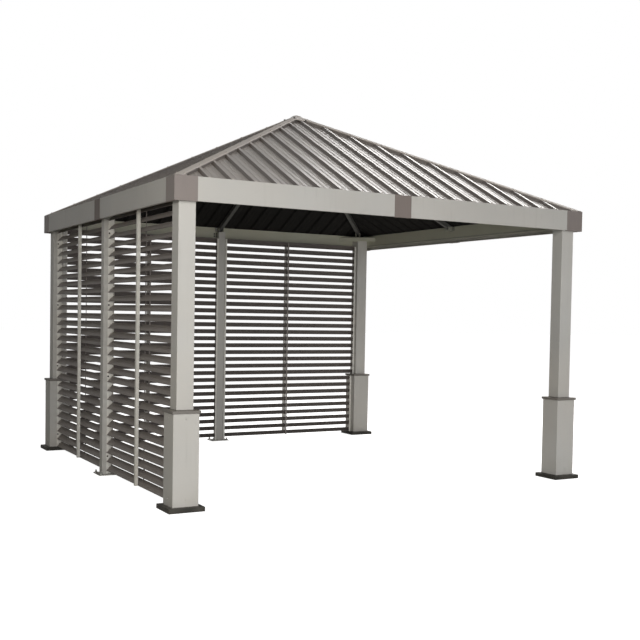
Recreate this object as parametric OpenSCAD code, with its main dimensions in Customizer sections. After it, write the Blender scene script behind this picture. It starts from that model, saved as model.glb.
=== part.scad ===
// Open square garden pavilion in metal: four cased corner posts, a ring of beams
// behind a deep fascia, a ribbed hip roof and two walls of fixed louvres.
// Origin: centre of the plan at ground level. X to the right along the open front,
// Y towards the louvred back wall, Z up. Millimetres.

/* [Overall] */
// Width across the fascia, along the open front
frame_w = 3660; // [3000:10:4600]
// Depth across the fascia, front to back
frame_d = 3660; // [3000:10:4600]
// Height of the fascia's lower edge above the ground
eave_z = 2122; // [1900:1:2600]
// Rise of the roof sheets from their lower edge to the peak
roof_rise = 897; // [600:1:1300]

/* [Corner posts] */
// Side of the square corner post
post_w = 124; // [90:1:160]
// Wall of the corner post
post_wall = 3; // [2:0.5:5]
// Distance from the fascia's face in to the post's outer face
post_inset = 51; // [40:1:90]
// Distance the skirt box stands out from the post all round
skirt_out = 32; // [20:1:45]
// Wall of the skirt box
skirt_wall = 3; // [2:0.5:5]
// Height of the skirt cap's top above the ground
skirt_top_z = 696; // [400:1:1000]
// Distance the skirt cap stands out from the skirt
skirt_cap_out = 10; // [4:1:20]
// Thickness of the skirt cap
skirt_cap_h = 20; // [10:1:35]
// Distance the base plate stands out from the skirt
base_out = 37.5; // [15:0.5:50]
// Thickness of the base plate
base_h = 32; // [15:1:50]

/* [Middle posts] */
// Side of the square middle post
mid_post_w = 76; // [55:1:95]
// Wall of the middle post
mid_post_wall = 2.5; // [1.5:0.5:4]
// Distance the foot plate stands out from the post, along the wall
foot_out_l = 57; // [40:1:80]
// Distance the foot plate stands out from the post, through the wall
foot_out_w = 36; // [25:1:50]
// Thickness of the foot plate
foot_t = 8; // [5:1:15]
// Radius of an anchor hole in the foot plate
anchor_r = 6; // [4:0.5:8]
// Distance of an anchor hole's centre from the foot plate's edges
anchor_edge = 19; // [14:1:22]

/* [Beams and fascia] */
// Wall of the hollow beam
beam_wall = 3; // [2:0.5:5]
// Height of the beam's underside above the fascia's lower edge
beam_raise = 40; // [20:1:70]
// Height of the fascia
fascia_h = 170; // [140:1:240]
// Thickness of the fascia sheet
fascia_t = 3; // [2:0.5:5]
// Width of the lip that turns in under the fascia
fascia_lip = 24; // [10:1:35]
// Open joint between the two boards of one side
board_joint = 2; // [1:0.5:4]
// Thickness of the covers over the fascia's corners and joints
cover_t = 3; // [2:0.5:4]
// Length of each wing of a corner cover
corner_cover_l = 168; // [120:1:240]
// Length of a joint cover
joint_cover_l = 150; // [100:1:220]

/* [Roof] */
// Thickness of the roof sheet
sheet_t = 1.5; // [1:0.1:3]
// Depth of the sheets' lower edge below the fascia's top edge
pan_drop = 31; // [5:1:45]
// Distance from rib to rib
rib_pitch = 174; // [120:1:240]
// Height of a rib
rib_h = 20; // [12:1:30]
// Width of a rib at its foot
rib_foot = 52; // [40:1:70]
// Width of a rib's flat crest
rib_crest = 24; // [12:1:32]
// Height of the two small ribs that stiffen the pan between ribs
pan_rib_h = 3; // [1.5:0.5:5]
// Width of a small rib
pan_rib_w = 14; // [8:1:18]
// Distance from the pan's middle to a small rib's crest
pan_rib_off = 22; // [12:1:24]
// Width of one wing of a hip cap
hip_cap_wing = 34; // [25:1:100]
// Thickness of the hip cap
hip_cap_t = 2; // [1.5:0.5:4]
// Depth of the hem along a hip cap's edges
hip_cap_hem = 7; // [4:1:12]
// Width of the cap on the peak
peak_cap_w = 210; // [160:5:320]
// Thickness of the cap on the peak
peak_cap_t = 3; // [2:0.5:6]

/* [Rafters] */
// Width of a rafter
rafter_w = 38; // [25:1:45]
// Depth of a rafter
rafter_h = 40; // [30:1:50]
// Radius of the hub under the peak
hub_r = 82; // [75:1:120]
// Height of the hub
hub_h = 80; // [60:1:120]
// Thickness of the metal of rafter shoes and corner plates
shoe_t = 4; // [3:0.5:6]
// Length of a shoe's cheek along the rafter
shoe_l = 60; // [40:1:90]
// Height by which a hip shoe's cheeks lap the rafter
shoe_lap = 30; // [15:1:40]
// Distance of a hip shoe's base from the beams at both of its ends
shoe_end_gap = 40; // [20:1:60]
// Distance from a post's inner corner to a corner plate's edge, along a beam
corner_room = 52; // [30:1:150]
// Height of the lip along a corner plate's inner edge
corner_lip_h = 42; // [25:1:60]
// Distance of the corner plates below the roof sheets, at the beams' inner faces
corner_plate_down = 24; // [15:1:50]

/* [Louvres] */
// Number of slats, one above the other
slat_n = 29; // [20:1:34]
// Width of a slat across its slope
slat_w = 64; // [50:1:70]
// Thickness of a slat
slat_t = 2; // [1.5:0.5:4]
// Tilt of a slat, outer edge down
slat_tilt = 45; // [30:1:60]
// Height of the lowest slat's lower edge above the ground
slat_foot_z = 36; // [34:1:80]
// Distance of the slats' middle line in from the post's outer face
slat_inset = 59; // [48:1:70]
// Width of a side channel along the wall
channel_w = 18; // [12:1:28]
// Depth of side channels and stiles through the wall
channel_d = 47; // [44:1:52]
// Width of a stile along the wall
stile_w = 40; // [25:1:55]
// Distance from the middle post's centre to a stile's centre
stile_off = 790; // [600:5:850]

/* [Hidden] */

// Small gap left where two pieces lie close without touching
gap = 1;
// Length by which cutting shapes run past what they cut
over = 10;

// Distance from the fascia's outer face in to where the roof's edges start
roof_inset = cover_t + fascia_t + gap;

half_w = frame_w / 2;
half_d = frame_d / 2;
fascia_top = eave_z + fascia_h;
beam_z = eave_z + beam_raise;
skirt_w = post_w + 2 * skirt_out;
skirt_cap_w = skirt_w + 2 * skirt_cap_out;
base_w = skirt_w + 2 * base_out;

// Plan positions of the corner posts
post_x = half_w - post_inset - post_w / 2;
post_y = half_d - post_inset - post_w / 2;

// Roof planes: the pans' upper surface, its lower edge and its peak
pan_z = fascia_top - pan_drop;
peak_z = pan_z + roof_rise;
slope_front = atan2(roof_rise, half_d);
slope_side = atan2(roof_rise, half_w);

// Hip lines, from a corner up to the peak
hip_run = sqrt(half_w * half_w + half_d * half_d);
hip_turn = atan2(half_d, half_w);
hip_slope = atan2(roof_rise, hip_run);
hip_len = sqrt(hip_run * hip_run + roof_rise * roof_rise);
// How far each roof side falls away per unit of width, square to a hip line
fall_front = tan(slope_front) * cos(hip_turn) * cos(hip_slope);
fall_side = tan(slope_side) * sin(hip_turn) * cos(hip_slope);
fall_max = max(fall_front, fall_side);
// Growth of a height square to a roof side when it is measured square to a hip line
hip_stretch = sqrt(1 + fall_max * fall_max);
// Hip caps: height of their hems' edges, which rest on the ribs, and of their tops
cap_low = rib_h * hip_stretch;
cap_top = cap_low + hip_cap_hem + hip_cap_t;

// Corner plates: top surface, the length along each beam, and the depth square to the lip
plate_top = under_pan(post_inset, min(slope_front, slope_side)) - corner_plate_down;
corner_leg = 2 * post_w + corner_room;
plate_depth = corner_leg / sqrt(2);

// Hip rafters carry the sheets on their upper edges: depth of their tops below the hip line,
// the distance in plan from the fascia's corner to their lower ends, and the height there
hip_drop = rafter_w / 2 * fall_max + sheet_t * hip_stretch;
hip_seat = (2 * post_inset + plate_depth) / (cos(hip_turn) + sin(hip_turn));
hip_end_z = pan_z + hip_seat * tan(hip_slope) - (hip_drop + rafter_h) / cos(hip_slope);

// Louvres: the slats fill the height between the ground and the beams
slat_rise = slat_w * sin(slat_tilt);
slat_run = slat_w * cos(slat_tilt);
slat_pitch = (beam_z - gap - slat_rise - slat_foot_z) / (slat_n - 1);

CORNERS = [
    [-1, -1, "front_left"], [1, -1, "front_right"],
    [-1, 1, "back_left"], [1, 1, "back_right"]
];
// Sides: turn from the front, half size across, half size along, slope, name
SIDES = [
    [0, half_d, half_w, slope_front, "front"],
    [90, half_w, half_d, slope_side, "right"],
    [180, half_d, half_w, slope_front, "back"],
    [270, half_w, half_d, slope_side, "left"]
];
// Louvred sides, each with the names of its two bays: first the bay on local +X
LOUVRES = [
    [SIDES[3], "louvre_left_front", "louvre_left_back"],
    [SIDES[2], "louvre_back_left", "louvre_back_right"]
];

// Height of a roof sheet's underside, at a distance in from the fascia's face
function under_pan(inset, slope) = pan_z + inset * tan(slope) - sheet_t / cos(slope);

// Places a shape drawn for the front left corner on another corner
module at_corner(c) {
    mirror([c[0] > 0 ? 1 : 0, 0, 0])
        mirror([0, c[1] > 0 ? 1 : 0, 0])
            children();
}

// Places a shape drawn for the front on another side
module on_side(s) {
    rotate([0, 0, s[0]])
        children();
}

// Upright tube or collar, centred in plan
module tube(w, wall, h) {
    difference() {
        translate([-w / 2, -w / 2, 0])
            cube([w, w, h]);
        translate([-w / 2 + wall, -w / 2 + wall, -over])
            cube([w - 2 * wall, w - 2 * wall, h + 2 * over]);
    }
}

// Corner post, from its base plate up to the corner plate that ties it to the beams
module post(c) {
    color([0.70, 0.69, 0.67])
        at_corner(c)
            translate([-post_x, -post_y, base_h])
                tube(post_w, post_wall, plate_top - shoe_t - base_h);
}

// Skirt box round the foot of a post
module skirt(c) {
    color([0.70, 0.68, 0.66])
        at_corner(c)
            translate([-post_x, -post_y, base_h])
                tube(skirt_w, skirt_wall, skirt_top_z - skirt_cap_h - base_h);
}

// Collar that closes the skirt's top round the post
module skirt_cap(c) {
    color([0.40, 0.39, 0.37])
        at_corner(c)
            translate([-post_x, -post_y, skirt_top_z - skirt_cap_h])
                tube(skirt_cap_w, skirt_out + skirt_cap_out - gap, skirt_cap_h);
}

// Base plate under post and skirt
module base_plate(c) {
    color([0.18, 0.18, 0.17])
        at_corner(c)
            translate([-post_x - base_w / 2, -post_y - base_w / 2, 0])
                cube([base_w, base_w, base_h]);
}

// Middle post of a louvred side on its foot plate, standing against the beam's inner face
module mid_post(s) {
    foot_l = mid_post_w + 2 * foot_out_l;
    foot_w = mid_post_w + 2 * foot_out_w;
    top = under_pan(post_inset, s[3]) - (rafter_h + 4 * gap) / cos(s[3]) - 2 * gap;
    color([0.55, 0.54, 0.51])
        on_side(s)
            translate([0, post_inset - s[1] + mid_post_w / 2, 0]) {
                difference() {
                    translate([-foot_l / 2, -foot_w / 2, 0])
                        cube([foot_l, foot_w, foot_t]);
                    for (x = [-1, 1], y = [-1, 1])
                        translate([x * (foot_l / 2 - anchor_edge), y * (foot_w / 2 - anchor_edge), -over])
                            cylinder(h = foot_t + 2 * over, r = anchor_r, $fn = 48);
                }
                translate([0, 0, foot_t])
                    tube(mid_post_w, mid_post_wall, top - foot_t);
            }
}

// Outline of a beam: X runs in from the fascia's back, Y up from the beam's underside
module beam_outline(d, slope, wall) {
    low = under_pan(post_inset - d, slope) - beam_z - gap;
    polygon([
        [wall, wall], [d - wall, wall],
        [d - wall, low + (d - wall) * tan(slope) - wall / cos(slope)],
        [wall, low + wall * tan(slope) - wall / cos(slope)]
    ]);
}

// Hollow beam of one side, between the posts' outer faces and the fascia, mitred at both ends
// and kept under the sheets of the roof sides that it meets there
module beam(s) {
    d = post_inset - cover_t - fascia_t;
    outer = s[1] - cover_t - fascia_t;
    reach = s[2] - cover_t - fascia_t;
    end_slope = atan2(roof_rise, s[2]);
    end_z = under_pan(0, end_slope) - gap / 2;
    color([0.38, 0.38, 0.34])
        on_side(s)
            intersection() {
                translate([-reach, -outer, beam_z])
                    rotate([90, 0, 90])
                        linear_extrude(2 * reach)
                            difference() {
                                beam_outline(d, s[3], 0);
                                beam_outline(d, s[3], beam_wall);
                            }
                translate([0, over - s[1] + post_inset, 0])
                    rotate([90, 0, 0])
                        linear_extrude(post_inset + over)
                            polygon([
                                [-s[2], eave_z], [s[2], eave_z], [s[2], end_z],
                                [0, end_z + roof_rise], [-s[2], end_z]
                            ]);
                translate([0, 0, eave_z])
                    linear_extrude(2 * fascia_h)
                        polygon([
                            [-reach, -outer], [reach, -outer],
                            [reach - d, d - outer], [d - reach, d - outer]
                        ]);
            }
}

// Fascia of one side: two boards that nearly meet in the middle, each with a lip below
module fascia(s) {
    outer = s[1] - cover_t;
    reach = s[2] - cover_t;
    low = eave_z + cover_t;
    board_l = reach - board_joint / 2;
    color([0.68, 0.66, 0.63])
        on_side(s)
            intersection() {
                for (m = [0, 1])
                    mirror([m, 0, 0])
                        translate([board_joint / 2, -outer, low]) {
                            cube([board_l, fascia_t, fascia_h - cover_t]);
                            cube([board_l, fascia_lip, fascia_t]);
                        }
                translate([0, 0, low - over])
                    linear_extrude(fascia_h + 2 * over)
                        polygon([
                            [-reach, -outer], [reach, -outer],
                            [reach - fascia_lip, fascia_lip - outer],
                            [fascia_lip - reach, fascia_lip - outer]
                        ]);
            }
}

// Cover over one outer corner of the fascia, with a lip below
module corner_cover(c) {
    color([0.45, 0.43, 0.41])
        at_corner(c)
            translate([-half_w, -half_d, eave_z]) {
                cube([corner_cover_l, cover_t, fascia_h]);
                cube([cover_t, corner_cover_l, fascia_h]);
                cube([corner_cover_l, fascia_lip, cover_t]);
                cube([fascia_lip, corner_cover_l, cover_t]);
            }
}

// Covers over the fascia's joints, one in the middle of each side
module joint_covers() {
    color([0.50, 0.47, 0.45])
        for (s = SIDES)
            on_side(s)
                translate([-joint_cover_l / 2, -s[1], eave_z]) {
                    cube([joint_cover_l, cover_t, fascia_h]);
                    cube([joint_cover_l, fascia_lip, cover_t]);
                }
}

// Corners of one small rib, centred at a distance from its pan's middle
function pan_rib(off) = [[off - pan_rib_w / 2, 0], [off, pan_rib_h], [off + pan_rib_w / 2, 0]];

// Upper edge of a ribbed sheet's outline, ribs on both sides of the middle, raised by lift
function rib_edge(rib_n, lift) = [
    for (k = [-rib_n : rib_n])
        for (p = concat(
            k > -rib_n ? [for (m = [-1, 1], q = pan_rib(m * pan_rib_off)) [q[0] - rib_pitch / 2, q[1]]] : [],
            [[-rib_foot / 2, 0], [-rib_crest / 2, rib_h], [rib_crest / 2, rib_h], [rib_foot / 2, 0]]
        ))
            [k * rib_pitch + p[0], p[1] + lift]
];

// The same points from last to first
function reversed(points) = [for (i = [len(points) - 1 : -1 : 0]) points[i]];

// Cross-section of a ribbed sheet out to a half width
module ribbed_outline(half) {
    rib_n = floor((half - rib_foot / 2) / rib_pitch);
    polygon(concat(
        [[-half, 0]], rib_edge(rib_n, 0), [[half, 0], [half, -sheet_t]],
        reversed(rib_edge(rib_n, -sheet_t)), [[-half, -sheet_t]]
    ));
}

// Ribbed sheet of one roof side, cut to the triangle between two hips
module roof_side(s) {
    seam = gap / 2;
    foot_x = s[2] * (1 - (roof_inset + seam) / s[1]);
    color([0.60, 0.57, 0.54])
        on_side(s)
            intersection() {
                translate([0, -s[1], pan_z])
                    rotate([90 + s[3], 0, 0])
                        mirror([0, 0, 1])
                            linear_extrude(s[1] / cos(s[3]))
                                ribbed_outline(s[2]);
                translate([0, 0, pan_z - fascia_h])
                    linear_extrude(roof_rise + 2 * fascia_h)
                        polygon([[-foot_x, roof_inset - s[1]], [foot_x, roof_inset - s[1]], [0, -seam]]);
            }
}

// Turns to a hip line: X runs up the hip, Y lies level, Z stands square to both
module along_hip(c) {
    at_corner(c)
        translate([-half_w, -half_d, pan_z])
            rotate([0, 0, hip_turn])
                rotate([0, -hip_slope, 0])
                    children();
}

// Cross-section of a hip cap: a wing over each roof side and a hem along each edge
module hip_cap_outline() {
    low = cap_low + hip_cap_hem;
    w = hip_cap_wing;
    in = hip_cap_wing - hip_cap_t;
    polygon([
        [-w, cap_low - w * fall_front], [-w, cap_top - w * fall_front], [0, cap_top],
        [w, cap_top - w * fall_side], [w, cap_low - w * fall_side],
        [in, cap_low - in * fall_side], [in, low - in * fall_side], [0, low],
        [-in, low - in * fall_front], [-in, cap_low - in * fall_front]
    ]);
}

// Caps over the four hips, each trimmed upright to its own quarter of the roof
module hip_caps() {
    color([0.66, 0.63, 0.60])
        for (c = CORNERS)
            intersection() {
                along_hip(c)
                    translate([-2 * hip_cap_wing, 0, 0])
                        rotate([90, 0, 90])
                            linear_extrude(hip_len + 4 * hip_cap_wing)
                                hip_cap_outline();
                at_corner(c)
                    translate([roof_inset - half_w, roof_inset - half_d, pan_z - fascia_h])
                        cube([
                            half_w - roof_inset - gap, half_d - roof_inset - gap,
                            roof_rise + 2 * fascia_h
                        ]);
            }
}

// Solid pyramid with the roof's slopes, its tip at a height above the pans' peak
module pyramid(w, tip) {
    d = w * half_d / half_w;
    rise = tan(slope_side) * w / 2;
    intersection() {
        translate([0, d / 2, peak_z + tip - rise])
            rotate([90, 0, 0])
                linear_extrude(d)
                    polygon([[-w / 2, 0], [w / 2, 0], [0, rise]]);
        translate([-w / 2, 0, peak_z + tip - rise])
            rotate([90, 0, 90])
                linear_extrude(w)
                    polygon([[-d / 2, 0], [d / 2, 0], [0, rise]]);
    }
}

// Four-sided cap on the peak, lying on the hip caps
module peak_cap() {
    seat = cap_top / cos(hip_slope);
    shell = peak_cap_t / cos(max(slope_front, slope_side));
    color([0.66, 0.63, 0.60])
        difference() {
            pyramid(peak_cap_w, seat + shell);
            pyramid(peak_cap_w, seat);
        }
}

// Hub under the peak, where all rafters meet
module rafter_hub() {
    top = peak_z - hub_r * tan(max(slope_front, slope_side)) - 4 * gap;
    color([0.30, 0.30, 0.29])
        translate([0, 0, top - hub_h])
            cylinder(h = hub_h, r = hub_r, $fn = 96);
}

// Upright column that trims the rafters' ends to the hub
module hub_column() {
    translate([0, 0, beam_z])
        cylinder(h = roof_rise + 2 * fascia_h, r = hub_r, $fn = 96);
}

// Moves to a hip rafter's lower end in plan, X level along the hip
module at_hip_seat(c) {
    at_corner(c)
        translate([-half_w, -half_d, 0])
            rotate([0, 0, hip_turn])
                translate([hip_seat, 0, 0])
                    children();
}

// One hip rafter, from above the corner plate up to the hub
module hip_rafter(c) {
    difference() {
        intersection() {
            along_hip(c)
                translate([0, -rafter_w / 2, -hip_drop - rafter_h])
                    cube([hip_len, rafter_w, rafter_h]);
            at_hip_seat(c)
                translate([0, -rafter_w, beam_z])
                    cube([hip_run - hip_seat, 2 * rafter_w, roof_rise + fascia_h]);
        }
        hub_column();
    }
}

// Rafters under the four hips
module hip_rafters() {
    color([0.33, 0.33, 0.32])
        for (c = CORNERS)
            hip_rafter(c);
}

// Rafters up the middle of the four roof sides
module mid_rafters() {
    drop = sheet_t + 3 * gap;
    color([0.33, 0.33, 0.32])
        for (s = SIDES)
            on_side(s)
                difference() {
                    intersection() {
                        translate([0, -s[1], pan_z])
                            rotate([s[3], 0, 0])
                                translate([-rafter_w / 2, 0, -drop - rafter_h])
                                    cube([rafter_w, s[1] / cos(s[3]), rafter_h]);
                        translate([-rafter_w, post_inset - s[1], beam_z])
                            cube([2 * rafter_w, s[1] - post_inset, roof_rise + fascia_h]);
                    }
                    hub_column();
                }
}

// Saddle that holds a hip rafter on its corner plate
module hip_shoe(c) {
    seat_w = corner_leg - 2 * shoe_end_gap;
    at_hip_seat(c)
        translate([0, 0, plate_top]) {
            translate([0, -seat_w / 2, 0])
                cube([shoe_l, seat_w, shoe_t]);
            for (m = [0, 1])
                mirror([0, m, 0])
                    translate([0, rafter_w / 2, 0])
                        cube([shoe_l, shoe_t, hip_end_z + shoe_lap - plate_top]);
        }
}

// Pair of angles that hold a middle rafter's end on the beam
module mid_shoe(s) {
    top = under_pan(post_inset, s[3]) - 3 * gap;
    on_side(s)
        for (m = [0, 1])
            mirror([m, 0, 0])
                translate([rafter_w / 2, post_inset - s[1], top - rafter_h]) {
                    cube([shoe_l / 2, shoe_t, rafter_h]);
                    cube([shoe_t, shoe_l, rafter_h]);
                }
}

// All the rafters' shoes
module rafter_shoes() {
    color([0.45, 0.45, 0.43]) {
        for (c = CORNERS)
            hip_shoe(c);
        for (s = SIDES)
            mid_shoe(s);
    }
}

// Flat plates across the inner corners of the beams, each with a lip along its edge
module corner_plates() {
    color([0.50, 0.50, 0.47])
        for (c = CORNERS)
            at_corner(c)
                translate([post_inset - half_w, post_inset - half_d, 0]) {
                    translate([0, 0, plate_top - shoe_t])
                        linear_extrude(shoe_t)
                            polygon([[0, 0], [corner_leg, 0], [0, corner_leg]]);
                    translate([0, 0, plate_top - corner_lip_h])
                        linear_extrude(corner_lip_h)
                            polygon([
                                [corner_leg, 0], [0, corner_leg],
                                [0, corner_leg - shoe_t * sqrt(2)], [corner_leg - shoe_t * sqrt(2), 0]
                            ]);
                }
}

// Slats of one bay, from x0 to x1, sloping down and outwards
module slats(x0, x1) {
    for (i = [0 : slat_n - 1])
        translate([x0, 0, slat_foot_z + i * slat_pitch])
            rotate([90, 0, 90])
                linear_extrude(x1 - x0)
                    polygon([
                        [-slat_run / 2, 0], [-slat_run / 2, slat_t],
                        [slat_run / 2, slat_rise], [slat_run / 2, slat_rise - slat_t]
                    ]);
}

// Upright bar of a bay, centred on the slats' line
module upright(x0, w, z0, z1) {
    translate([x0, -channel_d / 2, z0])
        cube([w, channel_d, z1 - z0]);
}

// One bay of louvres: side channels, a stile and the slats, stepped round the post's skirt
module louvre(s, side) {
    post_face = s[2] - post_inset - post_w;
    skirt_face = post_face - skirt_out;
    top = beam_z - gap;
    inner = mid_post_w / 2;
    color([0.32, 0.31, 0.30])
        on_side(s)
            mirror([side, 0, 0])
                translate([0, post_inset + slat_inset - s[1], 0])
                    difference() {
                        union() {
                            slats(inner, post_face - channel_w / 2);
                            upright(inner, channel_w, foot_t, top);
                            upright(stile_off - stile_w / 2, stile_w, slat_foot_z, top);
                            upright(post_face - channel_w, channel_w, skirt_top_z, top);
                            upright(skirt_face - channel_w, channel_w, base_h, skirt_top_z - skirt_cap_h);
                        }
                        translate([skirt_face, -skirt_w, -over])
                            cube([skirt_w, 2 * skirt_w, skirt_top_z - skirt_cap_h + over]);
                        translate([skirt_face - skirt_cap_out, -skirt_w, skirt_top_z - skirt_cap_h])
                            cube([skirt_w, 2 * skirt_w, skirt_cap_h]);
                    }
}

for (c = CORNERS) {
    post(c);
    skirt(c);
    skirt_cap(c);
    base_plate(c);
    corner_cover(c);
}
for (s = SIDES) {
    beam(s);
    fascia(s);
    roof_side(s);
}
for (v = LOUVRES) {
    mid_post(v[0]);
    louvre(v[0], 0);
    louvre(v[0], 1);
}
joint_covers();
hip_caps();
peak_cap();
hip_rafters();
mid_rafters();
rafter_hub();
rafter_shoes();
corner_plates();
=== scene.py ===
import math

import bmesh
import bpy
from mathutils import Matrix, Vector


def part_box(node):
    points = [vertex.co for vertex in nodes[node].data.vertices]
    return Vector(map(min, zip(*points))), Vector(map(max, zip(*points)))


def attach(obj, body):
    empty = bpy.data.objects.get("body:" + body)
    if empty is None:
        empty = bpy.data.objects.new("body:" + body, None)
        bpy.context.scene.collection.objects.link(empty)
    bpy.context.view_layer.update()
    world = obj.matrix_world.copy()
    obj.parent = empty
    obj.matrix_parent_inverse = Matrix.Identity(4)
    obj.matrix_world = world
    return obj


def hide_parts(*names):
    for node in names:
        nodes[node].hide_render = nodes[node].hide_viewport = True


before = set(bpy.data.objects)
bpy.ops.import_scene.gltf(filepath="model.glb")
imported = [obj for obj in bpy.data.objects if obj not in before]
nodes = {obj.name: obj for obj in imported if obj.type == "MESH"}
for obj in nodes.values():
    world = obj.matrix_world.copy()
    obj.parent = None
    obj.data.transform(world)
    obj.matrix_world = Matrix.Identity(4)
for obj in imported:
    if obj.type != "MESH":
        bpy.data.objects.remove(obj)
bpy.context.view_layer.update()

scene = bpy.context.scene
print("frame in place:", len(nodes), "pieces of metalwork")

# places, all read from the frame, in metres

corners = {"front_left": (-1, -1), "front_right": (1, -1), "back_left": (-1, 1), "back_right": (1, 1)}
sideTurns = {"front": 0, "right": 90, "back": 180, "left": 270}  # degrees round Z from the open front

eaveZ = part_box("corner_cover_front_right")[0].z
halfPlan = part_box("corner_cover_front_right")[1].x
postInner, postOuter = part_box("post_front_right")[0].x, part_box("post_front_right")[1].x
skirtInner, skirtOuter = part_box("skirt_front_right")[0].x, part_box("skirt_front_right")[1].x
skirtCapInner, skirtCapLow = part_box("skirt_cap_front_right")[0].x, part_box("skirt_cap_front_right")[0].z
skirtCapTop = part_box("skirt_cap_front_right")[1].z
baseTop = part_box("base_plate_front_right")[1].z
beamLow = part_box("beam_front")[0].z
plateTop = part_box("corner_plates")[1].z
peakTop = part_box("peak_cap")[1].z

# the widest pan of the front roof side gives the slope and height of all four sides
panFace = max((f for f in nodes["roof_front"].data.polygons if f.normal.z > 0.5), key=lambda f: f.area)
panPoint = nodes["roof_front"].data.vertices[panFace.vertices[0]].co.copy()
roofTilt = math.acos(panFace.normal.z)


def panHeight(inset):  # height of the pans' upper surface at a distance in from the fascia's face
    return panPoint.z + (inset - halfPlan - panPoint.y) * math.tan(roofTilt)


def onSide(name):  # turns what is drawn for the front onto another side
    return Matrix.Rotation(math.radians(sideTurns[name]), 4, "Z")


def atCorner(name):  # moves what is drawn round the origin to a corner post's foot
    sx, sy = corners[name]
    centre = (postInner + postOuter) / 2
    return Matrix.Translation((sx * centre, sy * centre, 0))


# camera

cameraView = {
    "place": (-4.18, -8.26, 1.365),
    "turnRight": 30.66,  # degrees from straight on
    "lookDown": 2.10,
    "lean": 1.06,
    "lens": 56.2,
    "shift": (-0.061, 0.051),
}

cameraData = bpy.data.cameras.new("camera")
cameraData.lens = cameraView["lens"]
cameraData.shift_x, cameraData.shift_y = cameraView["shift"]
cameraData.clip_end = 200
camera = bpy.data.objects.new("camera", cameraData)
camera.matrix_world = (
    Matrix.Translation(cameraView["place"])
    @ Matrix.Rotation(math.radians(-cameraView["turnRight"]), 4, "Z")
    @ Matrix.Rotation(math.radians(90 - cameraView["lookDown"]), 4, "X")
    @ Matrix.Rotation(math.radians(cameraView["lean"]), 4, "Z")
)
scene.collection.objects.link(camera)
scene.camera = camera
scene.view_settings.view_transform = "Standard"

# shared shader groups


def srgb(red, green, blue):  # screen colour, 0 to 255, to a linear one
    shares = (red / 255, green / 255, blue / 255)
    return (*(v / 12.92 if v <= 0.04 else ((v + 0.055) / 1.055) ** 2.4 for v in shares), 1)


def newGroup(name, inputs, outputs):
    group = bpy.data.node_groups.new(name, "ShaderNodeTree")
    for label, kind, value in inputs:
        socket = group.interface.new_socket(label, in_out="INPUT", socket_type="NodeSocket" + kind)
        socket.default_value = value
    for label, kind in outputs:
        group.interface.new_socket(label, in_out="OUTPUT", socket_type="NodeSocket" + kind)
    start = group.nodes.new("NodeGroupInput")
    end = group.nodes.new("NodeGroupOutput")
    return group, start.outputs, end.inputs


def addNode(tree, kind, settings=None, **inputs):
    node = tree.nodes.new("ShaderNode" + kind)
    for key, value in (settings or {}).items():
        setattr(node, key, value)
    for key, value in inputs.items():
        socket = node.inputs[int(key[1:])] if key[1:].isdigit() else node.inputs[key.replace("_", " ")]
        if isinstance(value, bpy.types.NodeSocket):
            tree.links.new(value, socket)
        else:
            socket.default_value = value
    return node


def calc(tree, operation, first, second=0.0, clamp=False):
    settings = {"operation": operation, "use_clamp": clamp}
    return addNode(tree, "Math", settings, i0=first, i1=second).outputs[0]


def fade(tree, value, fromLow, fromHigh, toLow=0.0, toHigh=1.0):
    return addNode(
        tree, "MapRange", {"interpolation_type": "SMOOTHSTEP"},
        i0=value, i1=fromLow, i2=fromHigh, i3=toLow, i4=toHigh,
    ).outputs[0]


def mixColour(tree, factor, first, second):
    return addNode(tree, "Mix", {"data_type": "RGBA"}, i0=factor, i6=first, i7=second).outputs[2]


def objectPlace(tree):
    return addNode(tree, "TexCoord").outputs["Object"]


def stretched(tree, place, x, y, z):
    return addNode(tree, "Mapping", Vector=place, Scale=(x, y, z)).outputs[0]


def noise(tree, place, scale, detail=3.0, rough=0.5):
    return addNode(tree, "TexNoise", Vector=place, Scale=scale, Detail=detail, Roughness=rough).outputs[0]


def buildCoatGrain():  # fine orange peel of sprayed powder coat, with a few specks
    group, given, result = newGroup(
        "coatGrain", [("Size", "Float", 0.002), ("Specks", "Float", 0.3)],
        [("Height", "Float"), ("Specks", "Float")],
    )
    place = objectPlace(group)
    scale = calc(group, "DIVIDE", 1.0, given["Size"])
    peel = noise(group, place, scale, 2.0)
    speckNoise = noise(group, place, calc(group, "MULTIPLY", scale, 0.6), 1.0)
    specks = calc(group, "MULTIPLY", fade(group, speckNoise, 0.62, 0.72), given["Specks"])
    group.links.new(peel, result["Height"])
    group.links.new(specks, result["Specks"])
    return group


def buildToneDrift():  # slow lighter and darker patches over a colour, warm in some and cool in others
    group, given, result = newGroup(
        "toneDrift", [("Colour", "Color", (1, 1, 1, 1)), ("Amount", "Float", 0.1), ("Size", "Float", 0.6)],
        [("Colour", "Color")],
    )
    place = objectPlace(group)
    scale = calc(group, "DIVIDE", 1.0, given["Size"])
    broad = noise(group, place, scale, 3.0)
    swing = calc(group, "MULTIPLY", calc(group, "SUBTRACT", broad, 0.5), given["Amount"])
    level = calc(group, "ADD", 1.0, calc(group, "MULTIPLY", swing, 2.0))
    elsewhere = addNode(group, "VectorMath", {"operation": "ADD"}, i0=place, i1=(7, 3, 5)).outputs[0]
    warm = noise(group, elsewhere, scale)
    reach = calc(group, "MULTIPLY", given["Amount"], 0.6)
    warmth = calc(group, "MULTIPLY", calc(group, "SUBTRACT", warm, 0.5), reach)
    parts = addNode(group, "SeparateColor", Color=given["Colour"]).outputs
    red = calc(group, "MULTIPLY", parts[0], calc(group, "ADD", level, warmth))
    green = calc(group, "MULTIPLY", parts[1], level)
    blue = calc(group, "MULTIPLY", parts[2], calc(group, "SUBTRACT", level, warmth))
    group.links.new(addNode(group, "CombineColor", i0=red, i1=green, i2=blue).outputs[0], result["Colour"])
    return group


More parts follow.
